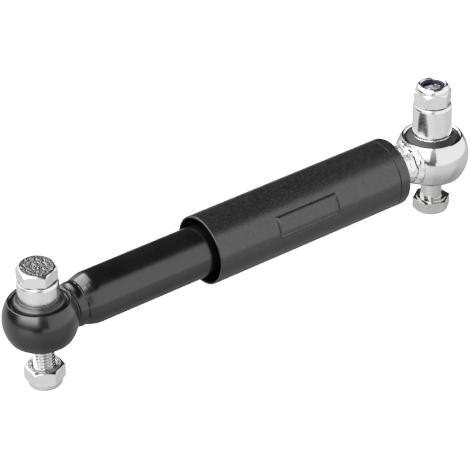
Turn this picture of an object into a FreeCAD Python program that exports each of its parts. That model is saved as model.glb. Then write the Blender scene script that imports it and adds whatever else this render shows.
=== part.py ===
import FreeCAD, Part
import math
import os

# Twin-tube telescopic shock absorber with a bolted rubber bush eye at each end.
# The stroke runs along +X, the eye bolts stand along Z.
# Origin: centre of the lower ring face of the lower bush sleeve, which is the
# face that is clamped against the axle bracket.  All sizes in millimetres.

os.makedirs("parts", exist_ok=True)

# ------------------------------------------------------------ driving sizes
seat_z = 14.3            # stroke axis above the bracket seat
eye_span = 264.0         # eye centre to eye centre at the stored pose

# lower (black) eye
le_R = 20.1              # outer sphere
le_r = 18.1              # inner sphere
le_h = 11.2              # half height of the ring
le_lip = 15.2            # smallest inner radius, at each rim
le_bevel = 0.8           # bevel inside each rim
# upper (plated) eye
ue_R = 20.8
ue_r = 18.7
ue_h = 11.9
ue_lip = 15.35
ue_bevel = 1.25

bush_gap = 0.08          # running gap of the rubber ball in its ring
sleeve_R = 11.0
sleeve_bore = 6.15
sleeve_lo = -14.3        # both sleeves end at the bracket seat plane
lsleeve_hi = 23.3
usleeve_hi = 32.3
sleeve_lead = (0.5, 1.5) # steep chamfer at the top: radial, height

# M12 fasteners
bolt_R = 6.0             # plain shank
thread_R = 5.9           # crest of the thread
thread_len = 30.0
bolt_hex = 7.5           # hexagon of the head
bolt_face = 0.5          # round washer face under it
hex_af = 19.0
nut_h = 12.0
nut_bore = 5.96
lbolt_len = 65.0
ubolt_len = 69.1
lnut_top = -28.6         # bearing face of the lower nut
ubolt_seat = -27.3       # bearing face of the upper bolt's head
lbolt_turn = 21.0        # hex corner angles, degrees
lnut_turn = 28.5
ubolt_turn = 33.5
unut_turn = 38.5

# reservoir tube
tube_R = 14.4
tube_r = 12.8
tube_x0 = 22.5           # small end of the swaged taper
tube_x1 = 28.7           # full diameter from here
tube_small = 12.4
tube_top = 173.6
tube_floor = 27.0

# pressure tube and valves
cyl_r = 10.0
cyl_R = 11.2
cyl_x0 = 33.0
cyl_x1 = 158.0
port_n = 6

# piston and rod
rod_R = 5.5
spigot_R = 4.0
rod_x0 = 88.5
rod_shoulder = 111.2
rod_x1 = 242.0
piston_x0 = 96.4
piston_x1 = 107.4
piston_R = 9.85
band_x0 = 99.2
band_x1 = 105.2

# dust cover
cov_R = 19.55
cov_r = 18.55
cov_x0 = 101.4
cov_seam = 225.5
cov_x1 = 232.8

V = FreeCAD.Vector
AX = V(1, 0, 0)
AZ = V(0, 0, 1)


# ------------------------------------------------------------------ helpers
def wire(points):
    """Closed wire in the XZ plane from (a, b) points; a 4-tuple is an arc's
    middle and end point."""
    edges = []
    first = points[0]
    last = first
    for p in list(points[1:]) + [first]:
        if len(p) == 4:
            edges.append(Part.Arc(V(last[0], 0, last[1]), V(p[0], 0, p[1]), V(p[2], 0, p[3])).toShape())
            last = (p[2], p[3])
        else:
            if abs(p[0] - last[0]) + abs(p[1] - last[1]) > 1e-7:
                edges.append(Part.LineSegment(V(last[0], 0, last[1]), V(p[0], 0, p[1])).toShape())
            last = p
    return Part.Wire(edges)


def lathe_x(points):
    """Turn an (x, r) outline about the stroke axis."""
    return Part.Face(wire(points)).revolve(V(0, 0, 0), AX, 360)


def lathe_z(points, xc=0.0):
    """Turn an (r, z) outline about the bolt axis at x = xc."""
    s = Part.Face(wire(points)).revolve(V(0, 0, 0), AZ, 360)
    s.translate(V(xc, 0, 0))
    return s


def ring_x(x0, x1, r0, r1):
    return lathe_x([(x0, r0), (x1, r0), (x1, r1), (x0, r1)])


def drill_x(shape, x0, x1, pitch_r, hole_r, count, turn=0.0):
    for i in range(count):
        a = math.radians(turn + 360.0 * i / count)
        c = V(x0, pitch_r * math.cos(a), pitch_r * math.sin(a))
        shape = shape.cut(Part.makeCylinder(hole_r, x1 - x0, c, AX))
    return shape


def hex_prism(z0, z1, af, turn, xc=0.0):
    rc = af / math.sqrt(3.0)
    pts = [V(rc * math.cos(math.radians(turn + 60 * i)), rc * math.sin(math.radians(turn + 60 * i)), z0) for i in range(7)]
    pts[6] = pts[0]
    s = Part.Face(Part.makePolygon(pts)).extrude(V(0, 0, z1 - z0))
    s.translate(V(xc, 0, 0))
    return s


def sphere(xc, r):
    return Part.makeSphere(r, V(xc, 0, 0))


def save(shape, name):
    shape = shape.copy()
    shape.translate(V(0, 0, seat_z))
    solids = shape.Solids
    shape = solids[0] if len(solids) == 1 else Part.makeCompound(solids)
    shape.exportStep("parts/%s.step" % name)
    print("%-24s solids %d  valid %s  volume %.1f" % (name, len(solids), shape.isValid(), sum(s.Volume for s in solids)))
    return shape


# ------------------------------------------------------------------ eyes
def eye_ring(R, r, h, lip, bevel, xc):
    c = 0.2                                    # broken outer rim edges
    ro = math.sqrt(R * R - (h - c) ** 2)
    rt = math.sqrt(R * R - h * h) - 0.12
    zl = math.sqrt(r * r - lip * lip)
    return lathe_z([
        (rt, h), (lip + bevel, h), (lip, max(zl, h - bevel)), (lip, zl), (r, 0.0, lip, -zl),
        (lip, -max(zl, h - bevel)), (lip + bevel, -h), (rt, -h), (ro, -h + c), (R, 0.0, ro, h - c)], xc)


lower_ring = eye_ring(le_R, le_r, le_h, le_lip, le_bevel, 0.0)
upper_ring = eye_ring(ue_R, ue_r, ue_h, ue_lip, ue_bevel, eye_span)
save(lower_ring, "lower_eye_ring")
save(upper_ring, "upper_eye_ring")


# ---------------------------------------------------------- reservoir tube
tube = lathe_x([
    (tube_x0, 0.0), (tube_floor, 0.0), (tube_floor, 9.0), (31.5, tube_r),
    (172.4, tube_r), (172.4, 10.8), (tube_top - 0.5, 10.8), (tube_top, 11.3),
    (tube_top, 13.2), (173.25, 14.05, 172.4, tube_R),
    (tube_x1 + 1.2, tube_R), (tube_x1, tube_R - 0.12, tube_x1 - 1.1, tube_R - 0.45),
    (tube_x0 + 0.4, tube_small), (tube_x0, tube_small - 0.4),
])
neck_end = lathe_x([
    (12.0, 0.0), (tube_x0, 0.0), (tube_x0, 11.6), (21.9, 12.0),
    (19.8, 12.35, 17.9, 11.5), (16.8, 11.1), (12.0, 11.1),
]).cut(sphere(0.0, le_R))
save(tube, "reservoir_tube")
save(neck_end, "lower_eye_neck")
bead = Part.makeTorus(11.95, 0.85, V(tube_x0, 0, 0), AX).cut(tube).cut(neck_end)
save(bead, "lower_weld_bead")

# ------------------------------------------------- pressure tube, foot valve
save(ring_x(cyl_x0, cyl_x1, cyl_r, cyl_R), "pressure_tube")

foot = lathe_x([
    (29.4, 8.4), (31.0, 8.4), (31.0, 2.5), (37.0, 2.5), (37.0, cyl_r), (cyl_x0, cyl_r),
    (cyl_x0, 11.8), (30.4, 11.8), (29.4, 10.97),
])
foot = drill_x(foot, 30.0, 38.0, 7.4, 0.9, port_n)
foot = drill_x(foot, 30.0, 38.0, 5.0, 0.7, 4, 30.0)
for i in range(4):
    s = Part.makeBox(3.4, 12.0, 2.4, V(29.0, 6.0, -1.2))
    s.rotate(V(0, 0, 0), AX, 45 + 90 * i)
    foot = foot.cut(s)
save(foot, "base_valve_body")
save(lathe_x([
    (28.9, 0.0), (41.4, 0.0), (41.4, 5.6), (41.0, 6.0), (40.2, 6.0), (40.2, 3.9),
    (37.0, 3.9), (37.0, 2.5), (30.2, 2.5), (30.2, 3.8), (29.3, 3.8), (28.9, 3.4),
]), "base_valve_bolt")
save(Part.makeCompound([ring_x(30.2, 30.6, 2.5, 4.9), ring_x(30.6, 31.0, 2.5, 6.2)]), "base_valve_shims")
save(ring_x(37.05, 37.75, 4.0, 8.9), "base_check_plate")


def star_spring(x_hub, x_tip, r0, r1, r_tip, count, thick=0.22):
    """Flat hub ring with sloping fingers that press on a valve plate."""
    s = ring_x(x_hub - thick, x_hub, r0, r1)
    for i in range(count):
        pts = [V(x_hub - thick, 0, r1 - 0.5), V(x_hub, 0, r1 - 0.5), V(x_tip + thick, 0, r_tip), V(x_tip, 0, r_tip), V(x_hub - thick, 0, r1 - 0.5)]
        f = Part.Face(Part.makePolygon(pts)).extrude(V(0, 1.4, 0))
        f.translate(V(0, -0.7, 0))
        f.rotate(V(0, 0, 0), AX, 360.0 * i / count)
        s = s.fuse(f)
    return s.removeSplitter()


save(star_spring(40.17, 37.80, 4.05, 5.4, 8.3, 6), "base_check_spring")

# ------------------------------------------------- rod guide and seal pack
save(lathe_x([
    (153.0, 6.5), (166.5, 6.5), (166.5, tube_r), (162.7, tube_r), (162.7, 11.3), (160.5, 11.3),
    (160.5, tube_r), (cyl_x1, tube_r), (cyl_x1, cyl_r), (153.6, cyl_r), (153.0, 9.4),
]), "rod_guide")
save(ring_x(153.3, 166.0, rod_R + 0.04, 6.5), "rod_guide_bush")
save(Part.makeTorus(12.05, 0.74, V(161.6, 0, 0), AX), "guide_o_ring")
save(lathe_x([
    (166.5, 8.2), (166.5, tube_r), (171.2, tube_r), (171.2, 8.2), (169.0, 8.2), (169.0, 6.6),
    (170.3, 6.6), (170.3, rod_R + 0.24), (169.4, rod_R + 0.03), (168.6, rod_R + 0.24), (167.8, rod_R + 0.03),
    (167.2, rod_R + 0.24), (167.2, 6.9), (167.6, 8.2),
]), "rod_seal")
save(Part.makeTorus(7.16, 0.52, V(169.56, 0, 0), AX), "seal_garter_spring")
save(ring_x(171.2, 172.4, 5.9, tube_r), "seal_retainer")

# ------------------------------------------------------- piston and its rod
save(lathe_x([
    (rod_x0, 0.0), (rod_x0, 3.4), (rod_x0 + 0.6, spigot_R), (rod_shoulder, spigot_R),
    (rod_shoulder, rod_R - 0.3), (rod_shoulder + 0.3, rod_R), (rod_x1, rod_R), (rod_x1, 0.0),
]), "piston_rod")

piston = lathe_x([
    (piston_x0, spigot_R), (piston_x1, spigot_R), (piston_x1, 9.4), (piston_x1 - 0.45, piston_R), (band_x1, piston_R),
    (band_x1, 8.85), (band_x0, 8.85), (band_x0, piston_R), (piston_x0 + 0.45, piston_R), (piston_x0, 9.4),
])
piston = drill_x(piston, piston_x0 - 1, piston_x1 + 1, 7.5, 0.85, port_n)
piston = drill_x(piston, piston_x0 - 1, piston_x1 + 1, 5.6, 0.7, port_n, 30.0)
save(piston, "piston")
save(ring_x(band_x0 + 0.08, band_x1 - 0.08, 8.89, cyl_r - 0.03), "piston_band")
save(Part.makeCompound([
    ring_x(95.2, 95.6, spigot_R, 5.6), ring_x(95.6, 96.0, spigot_R, 6.8), ring_x(96.0, 96.4, spigot_R, 8.2),
]), "rebound_shims")

hx = hex_prism(0.0, 6.5, 13.0, 0.0)
hx = hx.common(lathe_z([(spigot_R, 0.0), (6.3, 0.0), (7.6, 0.8), (7.6, 5.7), (6.3, 6.5), (spigot_R, 6.5)]))
hx.rotate(V(0, 0, 0), V(0, 1, 0), 90)
hx.translate(V(88.7, 0, 0))
save(hx, "piston_nut")

save(ring_x(107.45, 108.2, 5.15, 9.0), "piston_check_plate")
save(lathe_x([
    (piston_x1, spigot_R), (rod_shoulder, spigot_R), (rod_shoulder, 7.4), (110.0, 7.4), (110.0, 5.05), (piston_x1, 5.05),
]), "check_stop_washer")
save(star_spring(109.96, 108.26, 5.12, 6.0, 8.2, 6), "piston_check_spring")
save(lathe_x([
    (rod_shoulder + 0.4, rod_R), (118.5, rod_R), (118.5, 7.6), (117.6, 8.5), (112.4, 8.5), (rod_shoulder + 0.4, 7.5),
]), "rebound_stop")

# ------------------------------------------------------------- dust cover
save(lathe_x([
    (cov_x0, cov_r + 0.25), (cov_x0 + 0.5, cov_r), (cov_seam, cov_r), (cov_seam, cov_R - 0.2), (cov_seam - 0.2, cov_R),
    (cov_x0 + 0.4, cov_R), (cov_x0, cov_R - 0.35),
]), "dust_cover")
save(lathe_x([
    (219.0, 17.5), (230.0, 17.5), (231.3, 16.2), (231.3, 5.9), (cov_x1, 5.9), (cov_x1, cov_R - 1.6),
    (cov_x1 - 0.47, cov_R - 0.47, cov_x1 - 1.6, cov_R), (cov_seam + 0.25, cov_R), (cov_seam, cov_R - 0.25),
    (cov_seam, cov_r), (219.6, cov_r), (219.0, cov_r - 0.5),
]), "cover_end_cap")
save(ring_x(229.9, 231.3, rod_R, 13.0), "cover_retaining_washer")
save(lathe_x([
    (219.5, rod_R), (229.9, rod_R), (229.9, 10.6), (226.9, 10.6), (225.9, 9.2), (224.9, 10.2), (221.6, 9.6), (219.5, 7.6),
]), "bump_stop")

# --------------------------------------------------------- upper eye's neck
neck = lathe_x([
    (cov_x1, rod_R), (rod_x1, rod_R), (rod_x1, 0.0), (252.0, 0.0), (252.0, 11.3), (246.0, 11.2),
    (240.0, 10.6), (236.0, 10.0), (cov_x1, 10.0),
]).cut(sphere(eye_span, ue_R))
save(neck, "upper_eye_neck")
wb = lathe_x([
    (243.2, 10.6), (244.2, 12.1, 246.4, 12.6), (249.0, 13.3), (251.0, 13.3), (251.0, 10.6),
]).cut(neck).cut(sphere(eye_span, ue_R))
wb = wb.common(Part.makeBox(40, 60, 2 * (ue_h - 0.4), V(225, -30, -(ue_h - 0.4))))
wb = max(wb.Solids, key=lambda s: s.Volume)
save(wb, "upper_weld_bead")


# ------------------------------------------------------------------ bushes
def bush(r_ball, z_edge, lip_hi, lip_lo, xc):
    re = math.sqrt(r_ball * r_ball - z_edge * z_edge)
    b = sleeve_R + 0.04
    pts = [(b, -lip_lo[-1][1])]
    pts += [(r, -z) for r, z in reversed(lip_lo[:-1])]
    pts += [(re, -z_edge), (r_ball, 0.0, re, z_edge)]
    pts += list(lip_hi[:-1])
    pts += [(b, lip_hi[-1][1])]
    return lathe_z(pts, xc)


lip_l = [(14.7, 9.4), (14.2, 10.0), (12.9, 11.75), (12.3, 12.2), (sleeve_R, 12.25)]
save(bush(le_r - bush_gap, 9.4, lip_l, lip_l, 0.0), "lower_bush_rubber")
lip_u = [(14.75, 10.2), (14.6, 10.9), (14.2, 11.45)]
save(bush(ue_r - bush_gap, 10.2, lip_u + [(sleeve_R, 13.6)], lip_u + [(sleeve_R, 12.6)], eye_span), "upper_bush_rubber")


def sleeve(z1, xc):
    c = 0.5
    return lathe_z([
        (sleeve_bore, sleeve_lo + 0.3), (sleeve_bore + 0.3, sleeve_lo), (sleeve_R - c, sleeve_lo), (sleeve_R, sleeve_lo + c),
        (sleeve_R, z1 - sleeve_lead[1]), (sleeve_R - sleeve_lead[0], z1), (sleeve_bore + 0.3, z1), (sleeve_bore, z1 - 0.3),
    ], xc)


save(sleeve(lsleeve_hi, 0.0), "lower_sleeve")
save(sleeve(usleeve_hi, eye_span), "upper_sleeve")


# --------------------------------------------------------------- fasteners
def bolt(length, turn):
    """Hex bolt, bearing face at z = 0, head up, shank down."""
    rim = hex_af / 2.0
    top = bolt_face + bolt_hex
    head = hex_prism(0.0, top, hex_af, turn).common(lathe_z([
        (0.0, 0.0), (rim - 0.6, 0.0), (rim - 0.6, bolt_face), (rim + 1.6, bolt_face), (rim + 1.6, top - 1.95), (rim - 0.9, top), (0.0, top)]))
    x_run = -(length - thread_len)
    shank = lathe_z([
        (0.0, 0.0), (bolt_R, 0.0), (bolt_R, x_run + 0.6), (thread_R, x_run), (thread_R, -length + 1.7), (4.2, -length), (0.0, -length)])
    return head.fuse(shank).removeSplitter()


lb = bolt(lbolt_len, lbolt_turn)
lb.translate(V(0, 0, lsleeve_hi))
save(lb, "lower_bolt")
ub = bolt(ubolt_len, -ubolt_turn)
ub.rotate(V(0, 0, 0), AX, 180)
ub.translate(V(eye_span, 0, ubolt_seat))
save(ub, "upper_bolt")

ins_R = 7.3
ins_z0 = 8.9
ins_z1 = 11.2


def lock_nut(turn):
    """Self-locking nut, bearing face at z = 0, collar up."""
    rim = hex_af / 2.0
    return hex_prism(0.0, nut_h, hex_af, turn).common(lathe_z([
        (nut_bore + 0.5, 0.0), (rim - 0.5, 0.0), (rim + 1.6, 1.25), (rim + 1.6, 8.35), (9.55, 9.25), (9.3, 10.6, 8.6, 11.55),
        (8.35, 11.85, 7.9, nut_h), (6.9, nut_h - 0.35), (6.7, nut_h - 0.6), (6.7, ins_z1 + 0.03),
        (ins_R, ins_z1 + 0.03), (ins_R, ins_z0 - 0.03), (nut_bore, ins_z0 - 0.03), (nut_bore, 0.5)]))


def nylon_ring(tip_free):
    """Locking ring; above a bolt's chamfered tip its hole is still narrow."""
    hole = 5.1 if tip_free else nut_bore
    return lathe_z([(hole, ins_z0), (ins_R - 0.03, ins_z0), (ins_R - 0.03, ins_z1), (hole, ins_z1)])


for part_, name_ in ((lock_nut(-lnut_turn), "lower_nut"), (nylon_ring(False), "lower_nut_insert")):
    part_.rotate(V(0, 0, 0), AX, 180)
    part_.translate(V(0, 0, lnut_top))
    save(part_, name_)
for part_, name_ in ((lock_nut(unut_turn), "upper_nut"), (nylon_ring(True), "upper_nut_insert")):
    part_.translate(V(eye_span, 0, usleeve_hi + 0.05))
    save(part_, name_)
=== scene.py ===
import math

import bpy
import numpy as np
from mathutils import Matrix, Vector, noise


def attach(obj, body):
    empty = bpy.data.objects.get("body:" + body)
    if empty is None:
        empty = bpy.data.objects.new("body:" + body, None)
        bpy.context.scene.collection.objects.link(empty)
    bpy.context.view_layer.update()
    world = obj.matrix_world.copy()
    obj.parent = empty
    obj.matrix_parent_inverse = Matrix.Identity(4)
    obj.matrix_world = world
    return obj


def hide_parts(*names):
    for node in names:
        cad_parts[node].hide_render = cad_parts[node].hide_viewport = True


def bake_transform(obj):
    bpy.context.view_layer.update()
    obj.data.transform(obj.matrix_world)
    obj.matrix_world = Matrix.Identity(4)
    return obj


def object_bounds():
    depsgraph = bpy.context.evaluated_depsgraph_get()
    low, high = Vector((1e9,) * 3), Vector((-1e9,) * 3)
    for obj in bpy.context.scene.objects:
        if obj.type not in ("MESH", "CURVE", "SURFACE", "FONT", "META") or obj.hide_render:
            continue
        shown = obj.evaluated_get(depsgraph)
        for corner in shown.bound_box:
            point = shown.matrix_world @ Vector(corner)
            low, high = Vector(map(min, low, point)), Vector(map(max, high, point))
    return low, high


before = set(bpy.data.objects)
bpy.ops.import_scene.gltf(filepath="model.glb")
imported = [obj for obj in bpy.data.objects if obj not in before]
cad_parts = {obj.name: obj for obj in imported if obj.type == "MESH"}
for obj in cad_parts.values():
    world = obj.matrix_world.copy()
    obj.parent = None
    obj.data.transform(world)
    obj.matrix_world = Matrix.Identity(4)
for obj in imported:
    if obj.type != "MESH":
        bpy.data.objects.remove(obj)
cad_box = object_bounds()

# Telescopic shock absorber with a bolted ring eye at each end.
# Shapes are worked out in millimetres with the stroke axis on X (z = 0) and the
# lower eye's centre at x = 0, then written in metres in the part's own frame.
SEAT = 14.3
SPAN = 264.0

scene = bpy.context.scene


# ------------------------------------------------------------------ node tools
class Nodes:
    """Short calls for building a procedural material."""

    def __init__(self, name):
        self.mat = bpy.data.materials.new(name)
        self.mat.use_nodes = True
        self.nt = self.mat.node_tree
        self.bsdf = next(n for n in self.nt.nodes if n.type == "BSDF_PRINCIPLED")
        self.coord = self.nt.nodes.new("ShaderNodeTexCoord").outputs["Object"]

    def new(self, kind, **props):
        n = self.nt.nodes.new(kind)
        for k, v in props.items():
            setattr(n, k, v)
        return n

    def link(self, a, b):
        self.nt.links.new(a, b)

    def put(self, socket, value):
        if isinstance(value, bpy.types.NodeSocket):
            self.link(value, socket)
        else:
            socket.default_value = value

    def mapped(self, scale=(1, 1, 1), loc=(0, 0, 0), rot=(0, 0, 0)):
        m = self.new("ShaderNodeMapping")
        m.inputs["Location"].default_value = loc
        m.inputs["Rotation"].default_value = rot
        m.inputs["Scale"].default_value = scale
        self.link(self.coord, m.inputs["Vector"])
        return m.outputs["Vector"]

    def noise(self, scale, detail=3.0, rough=0.55, vec=None, distort=0.0):
        n = self.new("ShaderNodeTexNoise")
        self.put(n.inputs["Vector"], vec or self.coord)
        n.inputs["Scale"].default_value = scale
        n.inputs["Detail"].default_value = detail
        n.inputs["Roughness"].default_value = rough
        n.inputs["Distortion"].default_value = distort
        return n.outputs["Fac"]

    def cells(self, scale, vec=None, feature="F1"):
        n = self.new("ShaderNodeTexVoronoi", feature=feature)
        self.put(n.inputs["Vector"], vec or self.coord)
        n.inputs["Scale"].default_value = scale
        return n.outputs["Distance"]

    def spread(self, fac, lo, hi, a=0.0, b=1.0):
        n = self.new("ShaderNodeMapRange")
        self.put(n.inputs["Value"], fac)
        n.inputs["From Min"].default_value = lo
        n.inputs["From Max"].default_value = hi
        n.inputs["To Min"].default_value = a
        n.inputs["To Max"].default_value = b
        return n.outputs["Result"]

    def math(self, op, a, b=0.0):
        n = self.new("ShaderNodeMath", operation=op)
        self.put(n.inputs[0], a)
        self.put(n.inputs[1], b)
        return n.outputs["Value"]

    def mix(self, fac, a, b):
        n = self.new("ShaderNodeMix", data_type="RGBA")
        self.put(n.inputs["Factor"], fac)
        self.put(n.inputs[6], a if isinstance(a, bpy.types.NodeSocket) else (*a, 1.0))
        self.put(n.inputs[7], b if isinstance(b, bpy.types.NodeSocket) else (*b, 1.0))
        return n.outputs[2]

    def bump(self, height, strength, distance, normal=None):
        n = self.new("ShaderNodeBump")
        n.inputs["Strength"].default_value = strength
        n.inputs["Distance"].default_value = distance
        self.link(height, n.inputs["Height"])
        if normal is not None:
            self.link(normal, n.inputs["Normal"])
        return n.outputs["Normal"]

    def worn(self, lo, hi):
        """1 on raised edges, 0 elsewhere."""
        g = self.new("ShaderNodeNewGeometry")
        return self.spread(g.outputs["Pointiness"], lo, hi)

    def finish(self, color=None, rough=None, normal=None, **fixed):
        b = self.bsdf.inputs
        if color is not None:
            self.link(color, b["Base Color"])
        if rough is not None:
            self.link(rough, b["Roughness"])
        if normal is not None:
            self.link(normal, b["Normal"])
        for k, v in fixed.items():
            b[k].default_value = v
        return self.mat


# ------------------------------------------------------------------- materials
def black_paint():
    m = Nodes("black_paint")
    broad = m.noise(55, 3)
    fine = m.noise(900, 2)
    peel = m.noise(420, 2, 0.5)
    col = m.mix(m.spread(m.math("ADD", m.math("MULTIPLY", broad, 0.4), m.math("MULTIPLY", m.noise(800, 3, 0.7), 0.6)), 0.38, 0.66), (0.0009, 0.0009, 0.0009), (0.0028, 0.0028, 0.0028))
    rough = m.spread(m.math("ADD", m.math("MULTIPLY", broad, 0.6), m.math("MULTIPLY", fine, 0.4)), 0.3, 0.7, 0.17, 0.23)
    n = m.bump(peel, 0.05, 0.0002)
    n = m.bump(fine, 0.03, 0.0001, n)
    return m.finish(col, rough, n, **{"Metallic": 0.0, "IOR": 1.5})


def cover_plastic():
    m = Nodes("cover_plastic")
    broad = m.noise(45, 3)
    grain = m.noise(1500, 3, 0.65)
    pits = m.spread(m.cells(1500), 0.0, 0.5)
    streak = m.noise(900, 2, 0.5, m.mapped((0.05, 1, 1)))
    col = m.mix(m.spread(broad, 0.3, 0.72), (0.0058, 0.0058, 0.0058), (0.0074, 0.0074, 0.0074))
    col = m.mix(m.spread(m.noise(850, 3, 0.7), 0.40, 0.66), tuple(0.45 * c for c in (0.0056, 0.0056, 0.0056)), col)
    col = m.mix(m.spread(m.noise(1350, 3, 0.7), 0.48, 0.70), col, (0.0190, 0.0190, 0.0190))
    rough = m.spread(m.math("ADD", m.math("MULTIPLY", broad, 0.5), m.math("MULTIPLY", streak, 0.5)), 0.3, 0.7, 0.17, 0.22)
    n = m.bump(grain, 0.32, 0.00012)
    n = m.bump(pits, 0.08, 0.00008, n)
    return m.finish(col, rough, n, **{"Metallic": 0.0, "IOR": 1.5})


def plated():
    m = Nodes("bright_plating")
    broad = m.noise(70, 3)
    fine = m.noise(1500, 3)
    col = m.mix(m.spread(broad, 0.35, 0.7), (0.51, 0.51, 0.51), (0.56, 0.56, 0.56))
    rough = m.spread(m.math("ADD", m.math("MULTIPLY", broad, 0.7), m.math("MULTIPLY", fine, 0.3)), 0.3, 0.7, 0.06, 0.12)
    n = m.bump(m.noise(260, 2), 0.09, 0.0004)
    n = m.bump(fine, 0.05, 0.00006, n)
    return m.finish(col, rough, n, **{"Metallic": 1.0})


def plated_skin():
    """The same plating over hot-worked and welded steel, with painted shade darkening the creases where the runs meet.
    """
    m = Nodes("plating_on_weld")
    broad = m.noise(160, 3)
    fine = m.noise(1100, 4, 0.65)
    lumps = m.noise(420, 4, 0.6)
    seam = m.new("ShaderNodeAttribute", attribute_name="seam").outputs["Fac"]
    # painted shade: the 'seam' attribute, broken up by fine noise, darkens the creases
    seam = m.spread(m.math("ADD", seam, m.math("MULTIPLY", m.math("SUBTRACT", fine, 0.5), 0.9)), 0.28, 0.58)
    col = m.mix(m.spread(lumps, 0.35, 0.65), (0.64, 0.64, 0.64), (0.78, 0.78, 0.78))
    col = m.mix(seam, col, (0.022, 0.022, 0.022))
    rough = m.spread(m.math("ADD", m.math("MULTIPLY", broad, 0.6), m.math("MULTIPLY", fine, 0.4)), 0.3, 0.7, 0.22, 0.36)
    n = m.bump(lumps, 0.26, 0.0003)
    n = m.bump(fine, 0.20, 0.0001, n)
    return m.finish(col, rough, n, **{"Metallic": 1.0})


def zinc(name, base, lo, hi, turned=0.0, forged=0.0, patch=0.50):
    m = Nodes(name)
    broad = m.noise(140, 3)
    fine = m.noise(1800, 3)
    col = m.mix(m.spread(broad, 0.32, 0.7), tuple(c * 0.9 for c in base), base)
    col = m.mix(m.spread(m.cells(420), 0.1, 0.6, 0.0, 0.25), col, tuple(min(1.0, c * 1.08) for c in base))
    rough = m.spread(m.math("ADD", m.math("MULTIPLY", broad, 0.5), m.math("MULTIPLY", fine, 0.5)), 0.3, 0.7, lo, hi)
    n = m.bump(fine, 0.10, 0.00008)
    if turned:
        # fine lines left by drawing the tube and by the lathe tool
        drawn = m.noise(1500, 3, 0.6, m.mapped((1, 1, 0.06)))
        rings = m.noise(2400, 2, 0.5, m.mapped((0.03, 0.03, 1)))
        n = m.bump(drawn, turned * 2.0, 0.0001, n)
        n = m.bump(rings, turned, 0.00008, n)
    if forged:
        lumps = m.noise(620, 4, 0.7)
        n = m.bump(lumps, forged, 0.0003, n)
        col = m.mix(m.spread(m.noise(1300, 3, 0.6), 0.40, 0.60), tuple(c * patch for c in base), col)
    # painted shade from the 'seam' attribute: dark in the thread's roots, round the edge of the forged face and in the
    # crease under the nut's collar
    edge = m.new("ShaderNodeAttribute", attribute_name="seam").outputs["Fac"]
    col = m.mix(edge, col, (0.02, 0.02, 0.02))
    return m.finish(col, rough, n, **{"Metallic": 1.0})


def nylon():
    m = Nodes("dark_nylon")
    broad = m.noise(300, 3)
    col = m.mix(m.spread(broad, 0.3, 0.7), (0.0035, 0.0042, 0.011), (0.006, 0.0075, 0.019))
    rough = m.spread(m.noise(900, 2), 0.3, 0.7, 0.10, 0.15)
    n = m.bump(m.noise(1400, 2), 0.12, 0.0001)
    return m.finish(col, rough, n, **{"Metallic": 0.0, "IOR": 1.53, "Specular IOR Level": 0.18})


def rubber(name, lo, hi, gloss):
    m = Nodes(name)
    broad = m.noise(120, 3)
    fine = m.noise(1900, 3)
    bloom = m.spread(m.noise(260, 4), 0.5, 0.8, 0.0, 0.35)
    col = m.mix(m.spread(broad, 0.3, 0.7), (0.0032, 0.0032, 0.0032), (0.0048, 0.0048, 0.0048))
    col = m.mix(bloom, col, (0.008, 0.008, 0.008))
    rough = m.spread(m.math("ADD", m.math("MULTIPLY", broad, 0.5), m.math("MULTIPLY", fine, 0.5)), 0.3, 0.7, lo, hi)
    n = m.bump(fine, 0.14, 0.0001)
    return m.finish(col, rough, n, **{"Metallic": 0.0, "IOR": 1.5, "Specular IOR Level": gloss})


def bare_metal(name, a, b, lo, hi, metallic, bump, scale):
    m = Nodes(name)
    broad = m.noise(90, 3)
    fine = m.noise(scale, 3)
    col = m.mix(m.spread(broad, 0.3, 0.7), a, b)
    rough = m.spread(fine, 0.3, 0.7, lo, hi)
    return m.finish(col, rough, m.bump(fine, bump, 0.0001), **{"Metallic": metallic})


MAT = {
    "black_paint": black_paint(),
    "cover_plastic": cover_plastic(),
    "plated": plated(),
    "plated_skin": plated_skin(),
    "zinc": zinc("bright_zinc", (0.62, 0.62, 0.615), 0.13, 0.20),
    "zinc_turned": zinc("bright_zinc_turned", (0.62, 0.62, 0.615), 0.20, 0.28, turned=0.06),
    "zinc_forged": zinc("bright_zinc_forged", (0.40, 0.40, 0.395), 0.18, 0.26, forged=1.0),
    "zinc_face": zinc("bright_zinc_face", (0.72, 0.72, 0.715), 0.34, 0.48, forged=1.4, patch=0.20),
    # a darker copy of the bright zinc: painted shade for the upper bolt, which lies in the shadow of the upper eye
    "zinc_in_painted_shade": zinc("bright_zinc_in_painted_shade", (0.40, 0.40, 0.395), 0.14, 0.21),
    "zinc_cut": zinc("bright_zinc_cut", (0.62, 0.62, 0.615), 0.36, 0.48),
    "nylon": nylon(),
    "rubber": rubber("black_rubber", 0.30, 0.42, 0.5),
    "rubber_matt": rubber("black_rubber_matt", 0.44, 0.56, 0.27),
    "steel": bare_metal("bright_steel", (0.50, 0.50, 0.50), (0.58, 0.58, 0.58), 0.22, 0.34, 1.0, 0.08, 1500),
    "sintered": bare_metal("sintered_iron", (0.20, 0.20, 0.20), (0.28, 0.28, 0.275), 0.45, 0.65, 0.9, 0.35, 2600),
    "bronze": bare_metal("bearing_bronze", (0.50, 0.36, 0.18), (0.58, 0.42, 0.22), 0.30, 0.42, 1.0, 0.12, 1700),
    "slide_plastic": bare_metal("slide_plastic", (0.26, 0.21, 0.16), (0.33, 0.27, 0.21), 0.45, 0.6, 0.0, 0.15, 2100),
}


# ---------------------------------------------------------------- mesh tools
def arc(ca, cb, r, a0, a1, n):
    """Points on a circle, angles in degrees."""
    return [(ca + r * math.cos(math.radians(a0 + (a1 - a0) * i / n)), cb + r * math.sin(math.radians(a0 + (a1 - a0) * i / n))) for i in range(n + 1)]


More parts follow.
